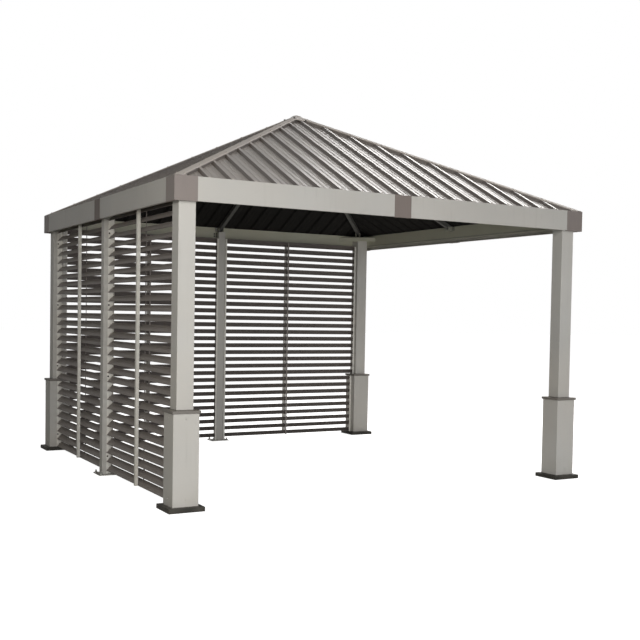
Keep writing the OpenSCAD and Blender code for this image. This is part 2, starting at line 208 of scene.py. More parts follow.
def buildEdgeWear():  # mask along sharp edges, broken up like rubbed paint
    group, given, result = newGroup(
        "edgeWear", [("Radius", "Float", 0.003), ("Amount", "Float", 0.5)], [("Mask", "Float")],
    )
    rounded = addNode(group, "Bevel", {"samples": 4}, Radius=given["Radius"]).outputs[0]
    flat = addNode(group, "NewGeometry").outputs["Normal"]
    alike = addNode(group, "VectorMath", {"operation": "DOT_PRODUCT"}, i0=rounded, i1=flat).outputs["Value"]
    edge = fade(group, calc(group, "SUBTRACT", 1.0, alike), 0.02, 0.25)
    broken = fade(group, noise(group, objectPlace(group), 35.0, 4.0), 0.35, 0.65, 0.35, 1.0)
    worn = calc(group, "MULTIPLY", edge, broken)
    group.links.new(calc(group, "MULTIPLY", worn, given["Amount"]), result["Mask"])
    return group


def buildRainStreaks():  # narrow marks that run down upright faces
    group, given, result = newGroup(
        "rainStreaks", [("Spacing", "Float", 0.03), ("Amount", "Float", 0.3)], [("Mask", "Float")],
    )
    place = stretched(group, objectPlace(group), 1, 1, 0.06)
    lines = noise(group, place, calc(group, "DIVIDE", 1.0, given["Spacing"]), 4.0, 0.6)
    patches = fade(group, noise(group, objectPlace(group), 2.2), 0.42, 0.62)
    mask = calc(group, "MULTIPLY", fade(group, lines, 0.5, 0.75), patches)
    group.links.new(calc(group, "MULTIPLY", mask, given["Amount"]), result["Mask"])
    return group


def buildSettledDust():  # dust on faces that look up, and splashed soil near the ground
    group, given, result = newGroup(
        "settledDust", [("Top", "Float", 0.3), ("Splash", "Float", 0.4), ("Reach", "Float", 0.25)],
        [("Mask", "Float")],
    )
    place = objectPlace(group)
    upward = addNode(group, "SeparateXYZ", i0=addNode(group, "NewGeometry").outputs["Normal"]).outputs[2]
    cloudy = fade(group, noise(group, place, 9.0, 5.0), 0.35, 0.7, 0.25, 1.0)
    lying = calc(group, "MULTIPLY", fade(group, upward, 0.5, 0.95), given["Top"])
    height = addNode(group, "SeparateXYZ", i0=place).outputs[2]
    near = fade(group, calc(group, "DIVIDE", height, given["Reach"]), 0.0, 1.0, 1.0, 0.0)
    low = calc(group, "MULTIPLY", near, given["Splash"])
    both = calc(group, "MAXIMUM", lying, low)
    group.links.new(calc(group, "MULTIPLY", both, cloudy, clamp=True), result["Mask"])
    return group


def buildPaintedFlankShade():  # mask of the ribs' flanks, steeper than the roof itself, where painted shade goes
    group, given, result = newGroup("paintedFlankShade", [("Limit", "Float", 0.72)], [("Mask", "Float")])
    normal = addNode(group, "NewGeometry").outputs["True Normal"]
    up = addNode(group, "SeparateXYZ", i0=normal).outputs[2]
    shallow = calc(group, "ADD", given["Limit"], 0.06)
    group.links.new(fade(group, up, given["Limit"], shallow, 1.0, 0.0), result["Mask"])
    return group


coatGrain = buildCoatGrain()
toneDrift = buildToneDrift()
edgeWear = buildEdgeWear()
rainStreaks = buildRainStreaks()
settledDust = buildSettledDust()
paintedFlankShade = buildPaintedFlankShade()
print("shader groups built")

# finishes

dustColour = srgb(168, 160, 148)
primerColour = srgb(206, 204, 200)
streakColour = srgb(120, 116, 110)
speckColour = srgb(120, 118, 114)

plainLook = {
    "colour": srgb(190, 188, 184),
    "flankShade": None,  # darker colour painted on steep faces (the ribs' flanks) as shade, where given
    "drift": 0.10,
    "driftSize": 0.7,
    "grain": 0.0022,
    "specks": 0.25,
    "bump": 0.10,
    "grainDepth": 0.0006,
    "speckTint": 0.25,
    "dulling": 0.3,  # roughness that dust and streaks add
    "rough": 0.5,
    "gloss": 0.22,
    "metal": 0.0,
    "wear": 0.30,
    "wearColour": primerColour,
    "wearRadius": 0.003,
    "streaks": 0.10,
    "top": 0.25,
    "splash": 0.0,
}

finishes = {
    "postCoat": {"colour": srgb(196, 194, 190), "splash": 0.25},
    "fasciaCoat": {"colour": srgb(190, 188, 184)},
    "coverCoat": {"colour": srgb(136, 128, 125), "wearColour": srgb(176, 170, 166)},
    "jointCoat": {"colour": srgb(130, 121, 117), "gloss": 0.05, "wearColour": srgb(170, 164, 160)},
    "beamCoat": {"colour": srgb(200, 199, 182), "streaks": 0.04},
    "slatCoat": {"colour": srgb(142, 135, 131), "wearColour": srgb(166, 160, 156)},
    "slatShadeBelow": {"colour": srgb(100, 94, 92), "wearColour": srgb(140, 134, 130)},  # painted shade on the slats' lower faces
    "bayCoat": {"colour": srgb(230, 228, 222), "rough": 0.45, "drift": 0.12},
    "roofCoat": {
        # the second, darker colour is painted shade on the ribs' flanks
        "colour": srgb(160, 152, 146), "flankShade": srgb(96, 89, 84),
        "drift": 0.14, "driftSize": 0.5, "rough": 0.36, "gloss": 0.5, "streaks": 0.2, "top": 0.12,
        "wear": 0.1, "wearColour": srgb(176, 170, 166),
    },
    "peakCoat": {"colour": srgb(214, 207, 201), "rough": 0.5, "top": 0.12, "wear": 0.15},
    "shoeCoat": {"colour": srgb(146, 145, 134), "wear": 0.2},
    # painted shade: near-black colour for the roof sheets' lower faces
    "paintedShadeUnder": {"colour": srgb(39, 38, 37), "rough": 0.8, "gloss": 0.05, "streaks": 0.0, "wear": 0.0},
    "hipCoat": {"colour": srgb(198, 190, 183), "rough": 0.55, "gloss": 0.25, "top": 0.12, "wear": 0.15},
    "rafterCoat": {"colour": srgb(92, 92, 90), "wear": 0.2, "wearColour": srgb(130, 130, 128)},
    "capCoat": {"colour": srgb(126, 122, 118), "wearColour": srgb(150, 146, 142), "top": 0.5},
    "baseCoat": {
        "colour": srgb(43, 43, 41), "rough": 0.55, "bump": 0.2, "wearColour": srgb(92, 92, 88),
        "top": 0.2, "splash": 0.15, "wear": 0.4,
    },
    "zincCoat": {
        "colour": srgb(176, 176, 172), "metal": 0.85, "gloss": 0.5, "rough": 0.36, "drift": 0.2,
        "driftSize": 0.02, "wear": 0.2, "streaks": 0.0, "wearColour": srgb(210, 210, 208),
    },
    "closureCoat": {"colour": srgb(120, 114, 110), "rough": 0.6},
    "trimCoat": {"colour": srgb(176, 176, 164), "wear": 0.4},
    "sealCoat": {"colour": srgb(96, 94, 91), "rough": 0.7, "gloss": 0.15},
    "screwCoat": {"colour": srgb(52, 52, 50), "rough": 0.4, "wear": 0.3, "wearColour": srgb(110, 110, 108)},
}


def buildFinish(name, changes):
    look = {**plainLook, **changes}
    material = bpy.data.materials.new(name)
    material.use_nodes = True
    tree = material.node_tree
    shader = tree.nodes["Principled BSDF"]

    def placed(group, **values):
        return addNode(tree, "Group", {"node_tree": group}, **values).outputs

    def drifting(base):
        return placed(toneDrift, Colour=base, Amount=look["drift"], Size=look["driftSize"])["Colour"]

    colour = drifting(look["colour"])
    # painted shade: the ribs' flanks take a darker colour
    if look["flankShade"]:
        colour = mixColour(tree, placed(paintedFlankShade)["Mask"], colour, drifting(look["flankShade"]))
    grain = placed(coatGrain, Size=look["grain"], Specks=look["specks"])
    worn = placed(edgeWear, Radius=look["wearRadius"], Amount=look["wear"])["Mask"]
    streaks = placed(rainStreaks, Amount=look["streaks"])["Mask"]
    dust = placed(settledDust, Top=look["top"], Splash=look["splash"])["Mask"]
    darken = {"data_type": "RGBA", "blend_type": "MULTIPLY"}
    colour = addNode(tree, "Mix", darken, i0=streaks, i6=colour, i7=streakColour).outputs[2]
    colour = mixColour(tree, worn, colour, look["wearColour"])
    colour = mixColour(tree, dust, colour, dustColour)
    specks = calc(tree, "MULTIPLY", grain["Specks"], look["speckTint"])
    colour = mixColour(tree, specks, colour, speckColour)
    tree.links.new(colour, shader.inputs["Base Color"])
    dulled = calc(tree, "MULTIPLY", calc(tree, "MAXIMUM", dust, streaks), look["dulling"])
    tree.links.new(calc(tree, "ADD", look["rough"], dulled, clamp=True), shader.inputs["Roughness"])
    shader.inputs["Metallic"].default_value = look["metal"]
    shader.inputs["Specular IOR Level"].default_value = look["gloss"]
    height, depth = grain["Height"], look["grainDepth"]
    bump = addNode(tree, "Bump", Strength=look["bump"], Distance=depth, Height=height)
    tree.links.new(bump.outputs[0], shader.inputs["Normal"])
    return material


materials = {name: buildFinish(name, changes) for name, changes in finishes.items()}
print("finishes mixed:", len(materials))

# finish and rounded edges on the frame's own pieces

# first word or words of a node's name: finish, edge radius
nodeFinish = {
    "post": ("postCoat", 0.003),
    "skirt_cap": ("capCoat", 0.003),
    "skirt": ("postCoat", 0.003),
    "base_plate": ("baseCoat", 0.005),
    "mid_post": ("postCoat", 0.002),
    "beam": ("beamCoat", 0.002),
    "fascia": ("fasciaCoat", 0.001),
    "corner_cover": ("coverCoat", 0.001),
    "joint_covers": ("jointCoat", 0.001),
    "roof": ("roofCoat", 0.0),
    "hip_caps": ("hipCoat", 0.001),
    "peak_cap": ("hipCoat", 0.001),
    "hip_rafters": ("rafterCoat", 0.0015),
    "mid_rafters": ("rafterCoat", 0.0015),
    "rafter_hub": ("rafterCoat", 0.003),
    "rafter_shoes": ("shoeCoat", 0.0008),
    "corner_plates": ("beamCoat", 0.001),
    "louvre": ("slatCoat", 0.0),
}


def roundEdges(item, radius):
    weld = item.modifiers.new("weld", "WELD")
    weld.merge_threshold = 0.00002
    bevel = item.modifiers.new("roundedEdge", "BEVEL")
    bevel.width = radius
    bevel.segments = 2
    bevel.limit_method = "ANGLE"
    bevel.angle_limit = math.radians(30)
    bevel.harden_normals = True


def dressFrame():
    for name, item in nodes.items():
        key = max((k for k in nodeFinish if name.startswith(k)), key=len)
        finish, radius = nodeFinish[key]
        item.data.materials.clear()
        item.data.materials.append(materials[finish])
        if radius:
            roundEdges(item, radius)


def paintShadeBelow(item, finish):  # painted shade: the sheets' lower faces get a darker copy of their finish
    item.data.materials.append(materials[finish])
    for face in item.data.polygons:
        if face.normal.z < -0.05:
            face.material_index = 1


dressFrame()
# painted shade on the roof sheets' lower faces
for name in sideTurns:
    paintShadeBelow(nodes["roof_" + name], "paintedShadeUnder")
print("frame dressed")

# what the detail pieces share

# parts of each fastener: (radius, height) pairs up its axis, number of sides
fastenerShapes = {
    "bolt": [
        ([(0, 0), (0.0110, 0), (0.0110, 0.0016), (0.0104, 0.0020), (0, 0.0020)], 20),
        ([(0, 0.0020), (0.0082, 0.0020), (0.0082, 0.0068), (0.0070, 0.0080), (0, 0.0080)], 6),
    ],
    "smallBolt": [
        ([(0, 0), (0.0075, 0), (0.0075, 0.0012), (0, 0.0012)], 18),
        ([(0, 0.0012), (0.0056, 0.0012), (0.0056, 0.0046), (0.0047, 0.0054), (0, 0.0054)], 6),
    ],
    "anchor": [
        ([(0, 0), (0.0150, 0), (0.0150, 0.0020), (0.0144, 0.0025), (0, 0.0025)], 24),
        ([(0, 0.0025), (0.0105, 0.0025), (0.0110, 0.0105), (0.0095, 0.0120), (0, 0.0120)], 6),
        ([(0, 0.0120), (0.0058, 0.0120), (0.0058, 0.0225), (0.0046, 0.0240), (0, 0.0240)], 16),
    ],
    "screw": [
        ([(0, 0), (0.0070, 0), (0.0070, 0.0010), (0.0058, 0.0018), (0, 0.0018)], 16),
        ([(0, 0.0018), (0.0042, 0.0018), (0.0042, 0.0048), (0.0035, 0.0054), (0, 0.0054)], 6),
    ],
    "rivet": [([(0, 0), (0.0048, 0), (0.0044, 0.0010), (0.0030, 0.0019), (0, 0.0024)], 14)],
}


def turned(build, place, profile, sides=24):  # solid of revolution round the place's own Z axis
    rings = []
    for radius, height in profile:
        turns = [2 * math.pi * i / sides for i in range(sides)] if radius else [0]
        ring = [Vector((radius * math.cos(a), radius * math.sin(a), height)) for a in turns]
        rings.append([build.verts.new(place @ point) for point in ring])
    for lower, upper in zip(rings, rings[1:]):
        for i in range(sides):
            j = (i + 1) % sides
            below = [lower[i % len(lower)], lower[j % len(lower)]]
            above = [upper[j % len(upper)], upper[i % len(upper)]]
            build.faces.new(list(dict.fromkeys(below + above)))


def prism(build, place, outline, depth):  # flat outline in the place's XY, thickened along its Z
    low = [build.verts.new(place @ Vector((x, y, 0))) for x, y in outline]
    high = [build.verts.new(place @ Vector((x, y, depth))) for x, y in outline]
    build.faces.new(low)
    build.faces.new(high[::-1])
    for i in range(len(outline)):
        j = (i + 1) % len(outline)
        build.faces.new((low[i], high[i], high[j], low[j]))


def pipe(build, place, outside, inside, depth):  # hollow section: two like outlines, thickened along Z
    rings = [
        [build.verts.new(place @ Vector((x, y, z))) for x, y in outline]
        for outline, z in ((outside, 0), (outside, depth), (inside, depth), (inside, 0))
    ]
    for first, second in zip(rings, rings[1:] + rings[:1]):
        for i in range(len(outside)):
            j = (i + 1) % len(outside)
            build.faces.new((first[i], first[j], second[j], second[i]))


def boxOutline(low, high):  # rectangle between two opposite corners
    return [(low[0], low[1]), (high[0], low[1]), (high[0], high[1]), (low[0], high[1])]


def bar(build, place, low, high):  # square-edged bar between two opposite corners
    prism(build, place @ Matrix.Translation((0, 0, low[2])), boxOutline(low, high), high[2] - low[2])


def fasten(build, place, kind, at, outward):  # one fastener, its head pointing outward
    stand = place @ Matrix.Translation(at) @ Vector(outward).to_track_quat("Z", "Y").to_matrix().to_4x4()
    for profile, sides in fastenerShapes[kind]:
        turned(build, stand, profile, sides)


def finishPiece(name, build, finish, replaced=None, edge=0.0):
    bmesh.ops.remove_doubles(build, verts=build.verts, dist=0.00001)
    bmesh.ops.recalc_face_normals(build, faces=build.faces)
    mesh = bpy.data.meshes.new(name)
    build.to_mesh(mesh)
    build.free()
    item = bpy.data.objects.new(name, mesh)
    scene.collection.objects.link(item)
    mesh.materials.append(materials[finish])
    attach(item, "root")
    if replaced:
        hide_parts(replaced)
    if edge:
        roundEdges(item, edge)
    return item


def sideways(sign):  # mirrors what is drawn for a side's right half onto its left half
    return Matrix.Diagonal((sign, 1, 1, 1))


def cornerRoom(name):  # X and Y run outwards to the named corner
    return Matrix.Diagonal((*corners[name], 1, 1))


# drawing planes: outline in YZ thickened along X, and outline in XZ thickened along Y
acrossX = Matrix(((0, 0, 1, 0), (1, 0, 0, 0), (0, 1, 0, 0), (0, 0, 0, 1)))
acrossY = Matrix(((1, 0, 0, 0), (0, 0, 1, 0), (0, 1, 0, 0), (0, 0, 0, 1)))
quarterTurned = Matrix.Rotation(math.radians(45), 4, "Z")  # sets a four-sided turned piece square
hairGap = 0.0002  # left between pieces that would otherwise share a face

# louvre walls: rolled slats, side channels and stiles

slatShape = {
    "count": 29,
    "tilt": 45,  # degrees, outer edge down
    "width": 0.064,
    "foot": 0.036,  # height of the lowest slat's lower edge
    "sheet": 0.0014,
    "hem": 0.0022,  # radius of the rolled edges
    "beadWidth": 0.016,  # stiffening bead along the middle
    "beadHeight": 0.0024,
    "beadSlope": 0.004,
    "endGap": 0.003,  # left free at the posts and skirts
    "capGap": 0.002,  # left free at the skirt caps
    "tab": [(-0.027, 0.0005), (0.027, 0.0005), (0.024, -0.010), (-0.024, -0.010)],  # at both ends
    "tabSheet": 0.002,
    "strapWidth": 0.016,  # flat strap along the slats' inner edges
    "strapSheet": 0.0026,
}

bayFrameShape = {
    "sheet": 0.0018,
    "gap": 0.001,  # to the posts, skirts and caps
    "channelWidth": 0.018,
    "channelBack": 0.002,  # how far the channels reach past the slats' inner edges
    "channelFoot": 0.010,
    "stileWidth": 0.028,
    "stileDepth": 0.025,  # a box section along the slats' outer edges
    "edge": 0.0006,
}

louvreScrews = {
    "heights": (0.16, 0.78, 1.41, 2.03),
    "inset": 0.009,  # in from the slats' outer edges
    "lift": 0.008,  # above the level halfway between two slats' lower edges
}

# side, which half of it, distance of the stile from the middle post's centre
bays = {
    "left_front": ("left", 1, 0.86),
    "left_back": ("left", -1, 0.79),
    "back_left": ("back", 1, 0.79),
    "back_right": ("back", -1, 0.79),
}

louvreLow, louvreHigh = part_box("louvre_back_left")
louvreMiddle = (louvreLow.y + louvreHigh.y) / 2  # distance of the slats' middle line from the centre
louvreHalf = (louvreHigh.y - louvreLow.y) / 2
slatsInner, slatsOuter = -louvreMiddle + louvreHalf, -louvreMiddle - louvreHalf
slatsTop = louvreHigh.z
midPostHalf = 0.038  # the foot plates are wider, so the box doesn't give this
slatRise = slatShape["width"] * math.sin(math.radians(slatShape["tilt"]))
slatPitch = (slatsTop - slatRise - slatShape["foot"]) / (slatShape["count"] - 1)


def slatOutline():  # cross-section of a slat: a thin sheet with a bead and two rolled edges
    radius, lift, thin = slatShape["hem"], slatShape["beadHeight"], slatShape["sheet"] / 2
    half, bead = slatShape["width"] / 2 - radius, slatShape["beadWidth"] / 2
    slope = bead + slatShape["beadSlope"]
    middle = [(-half, 0), (-slope, 0), (-bead, lift), (bead, lift), (slope, 0), (half, 0)]
    upper = [(s, t + thin) for s, t in middle]
    lower = [(s, t - thin) for s, t in reversed(middle)]
    turns = [math.radians(a) for a in (60, 20, -20, -60)]
    rightHem = [(half + radius * math.cos(a), radius * math.sin(a)) for a in turns]
    leftHem = [(-s, -t) for s, t in rightHem]
    return upper + rightHem + lower + leftHem


def slatPlace(index, start):  # X up the slope from the outer edge, Y square to it, Z along the wall
    lean = Matrix.Rotation(math.radians(slatShape["tilt"]), 4, "Z")
    height = slatShape["foot"] + index * slatPitch + slatRise / 2
    middle = Matrix.Translation((-louvreMiddle, height, 0))
    return Matrix.Translation((start, 0, 0)) @ acrossX @ middle @ lean


def bayEnd(low, high):  # where a bay ends at the corner post, between two heights
    if low > skirtCapTop:
        return postInner - slatShape["endGap"]
    if high > skirtCapLow:
        return skirtCapInner - slatShape["capGap"]
    return skirtInner - slatShape["endGap"]


def buildSlats(name, side, sign, stileAt):
    build = bmesh.new()
    bay = onSide(side) @ sideways(sign)
    outline, foot, tabSheet = slatOutline(), slatShape["foot"], slatShape["tabSheet"]
    first = midPostHalf + slatShape["endGap"]
    for i in range(slatShape["count"]):
        low = foot + i * slatPitch
        last = bayEnd(low, low + slatRise + slatShape["capGap"])
        prism(build, bay @ slatPlace(i, first), outline, last - first)
        for start in (first, last - tabSheet):
            prism(build, bay @ slatPlace(i, start), slatShape["tab"], tabSheet)
    half, near = slatShape["strapWidth"] / 2, slatsInner + hairGap
    strap = bay @ Matrix.Translation((stileAt, 0, 0))
    bar(build, strap, (-half, near, foot), (half, near + slatShape["strapSheet"], slatsTop))
    slats = finishPiece("slats_" + name, build, "slatCoat", "louvre_" + name)
    # painted shade on the slats' lower faces
    paintShadeBelow(slats, "slatShadeBelow")


def buildBayFrame(name, side, sign, stileAt):
    build = bmesh.new()
    bay = onSide(side) @ sideways(sign)
    shape, foot = bayFrameShape, slatShape["foot"]
    sheet, gap = shape["sheet"], shape["gap"]
    back = slatsInner + shape["channelBack"]
    runs = (  # face that the channel stands against, its direction, lower and upper end
        (midPostHalf + gap, 1, shape["channelFoot"], slatsTop),
        (postInner - gap, -1, skirtCapTop + gap, slatsTop),
        (skirtInner - gap, -1, baseTop + gap, skirtCapLow - gap),
    )
    for face, way, low, high in runs:
        channel = bay @ Matrix.Translation((face, 0, 0)) @ sideways(way)
        bar(build, channel, (0, slatsOuter, low), (sheet, back, high))
        bar(build, channel, (sheet, slatsInner + hairGap, low), (shape["channelWidth"], back, high))
    half, near, far = shape["stileWidth"] / 2, slatsOuter - shape["stileDepth"], slatsOuter - hairGap
    outside = boxOutline((-half, near), (half, far))
    inside = boxOutline((-half + sheet, near + sheet), (half - sheet, far - sheet))
    pipe(build, bay @ Matrix.Translation((stileAt, 0, foot)), outside, inside, slatsTop - foot)
    finishPiece("bay_frame_" + name, build, "bayCoat", None, shape["edge"])


def buildLouvreScrews():
    build = bmesh.new()
    foot, gap = slatShape["foot"], bayFrameShape["gap"]
    proud = gap + bayFrameShape["sheet"]
    row = slatsOuter + louvreScrews["inset"]
    for side, sign, stileAt in bays.values():
        bay = onSide(side) @ sideways(sign)
        for height in louvreScrews["heights"]:
            steps = round((height - foot) / slatPitch - 0.5) + 0.5  # halfway between two slats
            level = foot + louvreScrews["lift"] + steps * slatPitch
            end = postInner if level > skirtCapTop else skirtInner - gap
            fasten(build, bay, "screw", (midPostHalf + proud, row, level), (1, 0, 0))
            fasten(build, bay, "screw", (end - proud, row, level), (-1, 0, 0))
            onStrap = (stileAt, slatsInner + hairGap + slatShape["strapSheet"], level)
            fasten(build, bay, "screw", onStrap, (0, 1, 0))
    finishPiece("louvre_screws", build, "screwCoat")


for name, (side, sign, stileAt) in bays.items():
    buildSlats(name, side, sign, stileAt)
    buildBayFrame(name, side, sign, stileAt)
buildLouvreScrews()
print("louvre walls built")

# roof: closures under the hip caps, plugs in the rib ends, screws, cap on the peak

roofShape = {
    "pitch": 0.174,
    "ribHeight": 0.020,
    "ribFoot": 0.052,
    "ribCrest": 0.024,
    "lastRib": 10,
    "smallRib": (0.022, 0.014, 0.003),  # distance from the pan's middle, width, height
    "lastFlat": 0.012,  # flat beside the last rib
}
sine, cosine = math.sin(roofTilt), math.cos(roofTilt)
roofUp = (0, -sine, cosine)
ribs = range(-roofShape["lastRib"], roofShape["lastRib"] + 1)


def onRoof(x, inset, lift=0.0):  # point above the front roof side
    return Vector((x, inset - halfPlan - lift * sine, panHeight(inset) + lift * cosine))


def panOutline(rib):  # upper edge of the sheet from one rib's crest to the next one's
    pitch, foot, crest = roofShape["pitch"], roofShape["ribFoot"] / 2, roofShape["ribCrest"] / 2
    tall = roofShape["ribHeight"]
    start = rib * pitch
    points = [(start + crest, tall), (start + foot, 0)]
    if rib == roofShape["lastRib"]:
        return points + [(start + foot + roofShape["lastFlat"], 0)]
    away, wide, small = roofShape["smallRib"]
    for ridge in (start + pitch / 2 - away, start + pitch / 2 + away):
        points += [(ridge - wide / 2, 0), (ridge, small), (ridge + wide / 2, 0)]
    return points + [(start + pitch - foot, 0), (start + pitch - crest, tall)]


closureShape = {
    "from": 0.031,  # distance square to the hip line
    "to": 0.0295,
    "lift": 0.0003,  # above the pans
}


def buildClosures():  # strips that fill the pans' ends under the hip caps' hems
    build = bmesh.new()
    tall, lift = roofShape["ribHeight"], closureShape["lift"]
    for side in sideTurns:
        for sign in (-1, 1):
            place = onSide(side) @ sideways(sign)
            for rib in range(roofShape["lastRib"] + 1):
                low = panOutline(rib)
                ring = low + [(x, tall) for x, h in reversed(low) if h < tall]
                loops = []
                for away in (closureShape["from"], closureShape["to"]):
                    hip = halfPlan - away * math.sqrt(2)
                    points = [place @ onRoof(x, hip - x, h + lift) for x, h in ring]
                    loops.append([build.verts.new(point) for point in points])
                build.faces.new(loops[0])
                build.faces.new(loops[1][::-1])
                for i in range(len(ring)):
                    j = (i + 1) % len(ring)
                    build.faces.new((loops[0][i], loops[1][i], loops[1][j], loops[0][j]))
    finishPiece("hip_closures", build, "closureCoat")


ribPlugShape = {
    "inset": 0.011,  # in from the fascia's face
    "depth": 0.003,
    "footGap": 0.0022,  # inside the rib's flanks, at the foot and at the crest
    "crestGap": 0.0012,
    "reach": (-0.0014, 0.0018),  # foot below the pans, top below the crest
}


def buildRibPlugs():
    build = bmesh.new()
    foot = roofShape["ribFoot"] / 2 - ribPlugShape["footGap"]
    crest = roofShape["ribCrest"] / 2 - ribPlugShape["crestGap"]
    low, topGap = ribPlugShape["reach"]
    outline = [(-foot, low), (-crest, roofShape["ribHeight"] - topGap)]
    outline += [(-x, z) for x, z in reversed(outline)]
    for side in sideTurns:
        for rib in ribs:
            at = onRoof(rib * roofShape["pitch"], ribPlugShape["inset"])
            lean = Matrix.Translation(at) @ Matrix.Rotation(roofTilt, 4, "X")
            prism(build, onSide(side) @ lean @ acrossY, outline, ribPlugShape["depth"])
    finishPiece("rib_plugs", build, "closureCoat")


roofScrews = {
    "eaveInset": 0.040,  # in from the fascia's face
    "cornerGap": 0.07,  # eave screws end this far short of the hips
    "hipInset": 0.020,  # hip screws, square to the hip line
    "eaveGap": 0.03,  # hip screws end this far above the eaves
    "capTop": 0.0286,  # hip cap's upper face above the pans
}


def buildRoofScrews():
    build = bmesh.new()
    eave = roofScrews["eaveInset"]
    for side in sideTurns:
        for rib in ribs:
            x = rib * roofShape["pitch"]
            if abs(x) < halfPlan - eave - roofScrews["cornerGap"]:
                fasten(build, onSide(side), "screw", onRoof(x, eave, roofShape["ribHeight"]), roofUp)
            inset = halfPlan - abs(x) - roofScrews["hipInset"] * math.sqrt(2)
            if inset > roofScrews["eaveGap"] and abs(x) > peakShape["half"]:
                fasten(build, onSide(side), "screw", onRoof(x, inset, roofScrews["capTop"]), roofUp)
    finishPiece("roof_screws", build, "hipCoat")


peakShape = {
    "half": 0.105,
    "flat": 0.029,  # half width of the blunt tip
    "drops": ((0.35, 0.07), (0.7, 0.20), (1.0, 0.38)),  # round the tip: distance out and drop, in flats
    "tipDrop": 0.0004,
    "sheet": 0.002,
    "lip": 0.0025,
    "flap": [(-0.072, -0.001), (0.072, -0.001), (0.062, -0.011), (-0.062, -0.011)],
    "flapSheet": 0.0015,
    "edge": 0.0012,
    "bolt": (-0.060, -0.086),
    "screw": (0.045, -0.0065),  # sideways, height from the turned-down edge
}


def buildPeakCap():  # folded cap with a blunt tip, a turned-down edge and fixings in each face
    build = bmesh.new()
    shape = peakShape
    half, flat, sheet = shape["half"], shape["flat"], shape["sheet"]
    slope = math.tan(roofTilt)
    low = peakTop - sheet - (half - sheet) * slope
    outer = [(0, peakTop - shape["tipDrop"])]
    outer += [(flat * out, peakTop - flat * drop) for out, drop in shape["drops"]]
    outer += [(flat * 1.4, peakTop - sheet - flat * 1.4 * slope)]
    outer += [(half - sheet, low), (half, low - shape["lip"])]
    inner = [(max(r - sheet, 0), z - sheet) for r, z in reversed(outer)]
    profile = [(r * math.sqrt(2), z) for r, z in outer + inner]
    turned(build, quarterTurned, profile, 4)
    for side in sideTurns:
        edge = onSide(side) @ Matrix.Translation((0, -half, low))
        prism(build, edge @ acrossY, shape["flap"], shape["flapSheet"])
    finishPiece("peak_cap_sheet", build, "peakCoat", "peak_cap", shape["edge"])
    build = bmesh.new()
    boltX, boltY = shape["bolt"]
    screwX, screwZ = shape["screw"]
    for side in sideTurns:
        height = low + (half + boltY - sheet) * slope
        fasten(build, onSide(side), "bolt", (boltX, boltY, height), roofUp)
        fasten(build, onSide(side), "screw", (screwX, -half, low + screwZ), (0, -1, 0))
    finishPiece("peak_screws", build, "screwCoat")


buildClosures()
buildRibPlugs()
buildRoofScrews()
buildPeakCap()
print("roof details built")

# beams, corner plates, rafter shoes, hub and feet: trims, brackets and bolts

beamFace = -postOuter  # the beams' inner face, on a side drawn as the front
postMiddle = (postInner + postOuter) / 2
walledSides = ("left", "back")  # the sides with a middle post

trimShape = {
    "height": 0.014,
    "sheet": 0.0016,
    "lip": 0.010,
    "postGap": 0.002,
    "midPostGap": 0.001,
    "edge": 0.0004,
}


def buildBeamTrims():  # small angle along the lower inner edge of each beam
    build = bmesh.new()
    sheet, tall, lip = trimShape["sheet"], trimShape["height"], trimShape["lip"]
    reach, midReach = postInner - trimShape["postGap"], midPostHalf + trimShape["midPostGap"]
    inner = beamFace + sheet
    for side in sideTurns:
        walled = side in walledSides
        spans = [(-reach, -midReach), (midReach, reach)] if walled else [(-reach, reach)]
        for start, end in spans:
            bar(build, onSide(side), (start, beamFace, beamLow), (end, inner, beamLow + tall))
            bar(build, onSide(side), (start, beamFace - lip, beamLow - sheet), (end, inner, beamLow))
    finishPiece("beam_trims", build, "trimCoat", None, trimShape["edge"])


# distances in from the posts' two outer faces
plateBolts = {
    "legs": ((0.155, 0.028), (0.215, 0.028), (0.028, 0.155), (0.028, 0.215)),
    "posts": ((0.036, 0.036), (0.088, 0.088)),
    "shoes": ((0.186, 0.080), (0.080, 0.186)),
    "shoeSheet": 0.004,
}


def buildPlateBolts():
    build = bmesh.new()
    shoeTop = plateTop + plateBolts["shoeSheet"]
    spots = [(u, v, plateTop) for u, v in plateBolts["legs"] + plateBolts["posts"]]
    spots += [(u, v, shoeTop) for u, v in plateBolts["shoes"]]
    for name in corners:
        for u, v, height in spots:
            fasten(build, cornerRoom(name), "bolt", (postOuter - u, postOuter - v, height), (0, 0, 1))
    finishPiece("plate_bolts", build, "zincCoat")


shoeBolts = {
    "cheek": 0.023,  # shoe's outer face from the rafter's middle line
    "cornerInset": 0.180,  # along the hip, in from the post's outer corner
    "cornerHeight": 0.047,  # above the corner plate
    "midFoot": 0.045,  # the middle shoes' lower end, below the pans
    "flangeX": 0.037,
    "flangeSheet": 0.004,
    "flangeHeights": (0.012, 0.030),
    "cheekInset": 0.046,
    "cheekHeight": 0.024,
}


def buildShoeBolts():
    build = bmesh.new()
    cheek = shoeBolts["cheek"]
    across = cheek / math.sqrt(2)
    inwards = postOuter - shoeBolts["cornerInset"] / math.sqrt(2)
    for name in corners:
        for way in (-1, 1):
            at = (inwards + way * across, inwards - way * across, plateTop + shoeBolts["cornerHeight"])
            fasten(build, cornerRoom(name), "smallBolt", at, (way, -way, 0))
    low = panHeight(halfPlan - postOuter) - shoeBolts["midFoot"]
    for side in sideTurns:
        for way in (-1, 1):
            place = onSide(side) @ sideways(way)
            for height in shoeBolts["flangeHeights"]:
                at = (shoeBolts["flangeX"], beamFace + shoeBolts["flangeSheet"], low + height)
                fasten(build, place, "smallBolt", at, (0, 1, 0))
            at = (cheek, beamFace + shoeBolts["cheekInset"], low + shoeBolts["cheekHeight"])
            fasten(build, place, "smallBolt", at, (1, 0, 0))
    finishPiece("shoe_bolts", build, "zincCoat")


